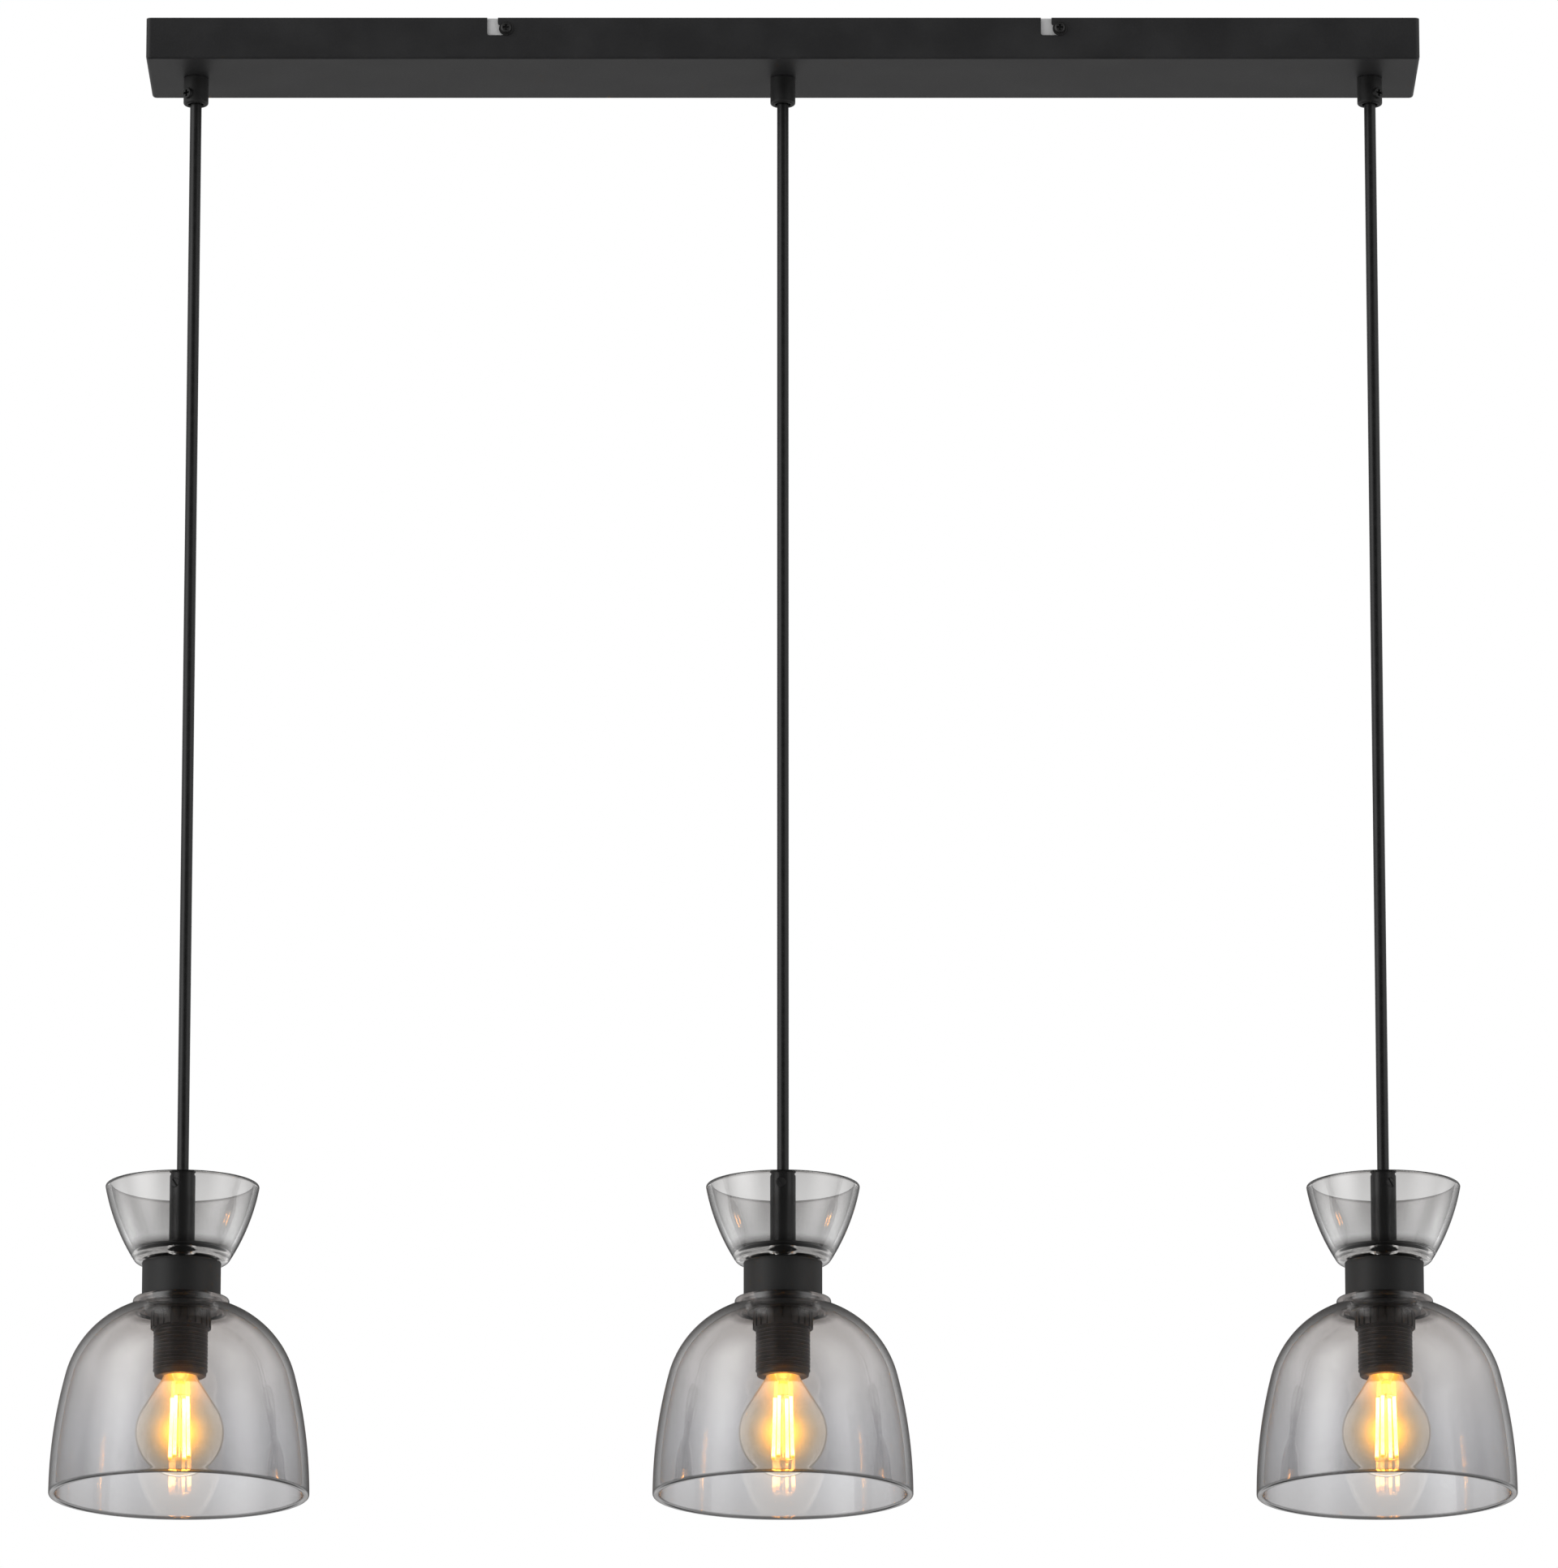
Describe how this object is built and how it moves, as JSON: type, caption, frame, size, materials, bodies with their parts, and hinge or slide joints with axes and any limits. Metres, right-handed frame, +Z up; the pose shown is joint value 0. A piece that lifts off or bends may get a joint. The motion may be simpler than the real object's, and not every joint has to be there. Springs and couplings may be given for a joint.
{
  "type": "linear island pendant",
  "caption": "Long flat black canopy that hangs a row of straight black cords, each with a smoked glass cup over a smoked glass bell round a small globe bulb.",
  "frame": {"origin": "middle of the ceiling bracket's top face, which lies on the ceiling", "axes": "+Z up into the ceiling, +X along the canopy to the right, the front faces -Y"},
  "size_m": [0.743, 0.132, 0.7726],
  "materials": {
    "zinc_steel": "zinc plated, satin",
    "black_screw": "black finish, semi-matt",
    "canopy_black": "fine textured black powder coat",
    "grip_plastic": "black moulded plastic",
    "cord_black": "smooth black flexible sheath",
    "block_plastic": "natural white moulded plastic",
    "brass": "plain brass",
    "lead_brown": "brown insulation",
    "lead_blue": "blue insulation",
    "lead_earth": "green and yellow insulation",
    "stem_black": "satin black paint",
    "collar_black": "matt black powder coat",
    "washer_clear": "clear flexible plastic",
    "smoked_glass": "smoke tinted clear glass with a faint mirror sheen",
    "holder_black": "black moulded plastic",
    "cap_metal": "bright plated",
    "bulb_glass": "clear glass",
    "filament": "glowing warm yellow"
  },
  "bodies": {
    "mounting_bracket": {"ceiling_bracket": "zinc_steel", "canopy_screws": "black_screw"},
    "canopy": {"canopy": "canopy_black", "cord_grips": "grip_plastic", "grip_nuts": "zinc_steel", "grip_screws": "grip_plastic", "cord_tails": "cord_black", "terminal_block": "block_plastic", "terminal_screws": "brass", "leads_brown": "lead_brown", "leads_blue": "lead_blue", "leads_earth": "lead_earth"},
    "bend_left": {"cord_bend_left": "cord_black"},
    "cord_left": {"cord_left": "cord_black"},
    "lamp_left": {"stem_left": "stem_black", "stem_screw_left": "black_screw", "cup_washer_left": "washer_clear", "nipple_left": "zinc_steel", "cup_glass_left": "smoked_glass", "collar_left": "collar_black", "bell_glass_left": "smoked_glass", "shade_ring_left": "holder_black", "lamp_holder_left": "holder_black", "socket_contacts_left": "brass"},
    "bulb_left": {"bulb_cap_left": "cap_metal", "bulb_globe_left": "bulb_glass", "bulb_mount_left": "bulb_glass", "bulb_filaments_left": "filament"},
    "bend_centre": {"cord_bend_centre": "cord_black"},
    "cord_centre": {"cord_centre": "cord_black"},
    "lamp_centre": {"stem_centre": "stem_black", "stem_screw_centre": "black_screw", "cup_washer_centre": "washer_clear", "nipple_centre": "zinc_steel", "cup_glass_centre": "smoked_glass", "collar_centre": "collar_black", "bell_glass_centre": "smoked_glass", "shade_ring_centre": "holder_black", "lamp_holder_centre": "holder_black", "socket_contacts_centre": "brass"},
    "bulb_centre": {"bulb_cap_centre": "cap_metal", "bulb_globe_centre": "bulb_glass", "bulb_mount_centre": "bulb_glass", "bulb_filaments_centre": "filament"},
    "bend_right": {"cord_bend_right": "cord_black"},
    "cord_right": {"cord_right": "cord_black"},
    "lamp_right": {"stem_right": "stem_black", "stem_screw_right": "black_screw", "cup_washer_right": "washer_clear", "nipple_right": "zinc_steel", "cup_glass_right": "smoked_glass", "collar_right": "collar_black", "bell_glass_right": "smoked_glass", "shade_ring_right": "holder_black", "lamp_holder_right": "holder_black", "socket_contacts_right": "brass"},
    "bulb_right": {"bulb_cap_right": "cap_metal", "bulb_globe_right": "bulb_glass", "bulb_mount_right": "bulb_glass", "bulb_filaments_right": "filament"}
  },
  "joints": [
    {"name": "canopy_shift", "type": "slide", "parent": "mounting_bracket", "child": "canopy", "axis": [1, 0, 0], "range_m": [0, 0.007]},
    {"name": "swing_fore_aft_left", "type": "hinge", "parent": "canopy", "child": "bend_left", "pos_m": [-0.3055, 0, -0.0355], "axis": [1, 0, 0], "range_deg": [-25, 25], "deforming": ["cord_bend_left"]},
    {"name": "swing_side_left", "type": "hinge", "parent": "bend_left", "child": "cord_left", "pos_m": [-0.3055, 0, -0.0475], "axis": [0, 1, 0], "range_deg": [-6, 25], "deforming": ["cord_bend_left"]},
    {"name": "height_left", "type": "slide", "parent": "cord_left", "child": "lamp_left", "axis": [0, 0, 1], "range_m": [0, 0.4], "deforming": ["cord_left"]},
    {"name": "bulb_out_left", "type": "slide", "parent": "lamp_left", "child": "bulb_left", "axis": [0, 0, -1], "range_m": [0, 0.095]},
    {"name": "swing_fore_aft_centre", "type": "hinge", "parent": "canopy", "child": "bend_centre", "pos_m": [0, 0, -0.0355], "axis": [1, 0, 0], "range_deg": [-25, 25], "deforming": ["cord_bend_centre"]},
    {"name": "swing_side_centre", "type": "hinge", "parent": "bend_centre", "child": "cord_centre", "pos_m": [0, 0, -0.0475], "axis": [0, 1, 0], "range_deg": [-6, 6], "deforming": ["cord_bend_centre"]},
    {"name": "height_centre", "type": "slide", "parent": "cord_centre", "child": "lamp_centre", "axis": [0, 0, 1], "range_m": [0, 0.4], "deforming": ["cord_centre"]},
    {"name": "bulb_out_centre", "type": "slide", "parent": "lamp_centre", "child": "bulb_centre", "axis": [0, 0, -1], "range_m": [0, 0.095]},
    {"name": "swing_fore_aft_right", "type": "hinge", "parent": "canopy", "child": "bend_right", "pos_m": [0.3055, 0, -0.0355], "axis": [1, 0, 0], "range_deg": [-25, 25], "deforming": ["cord_bend_right"]},
    {"name": "swing_side_right", "type": "hinge", "parent": "bend_right", "child": "cord_right", "pos_m": [0.3055, 0, -0.0475], "axis": [0, 1, 0], "range_deg": [-25, 6], "deforming": ["cord_bend_right"]},
    {"name": "height_right", "type": "slide", "parent": "cord_right", "child": "lamp_right", "axis": [0, 0, 1], "range_m": [0, 0.4], "deforming": ["cord_right"]},
    {"name": "bulb_out_right", "type": "slide", "parent": "lamp_right", "child": "bulb_right", "axis": [0, 0, -1], "range_m": [0, 0.095]}
  ]
}
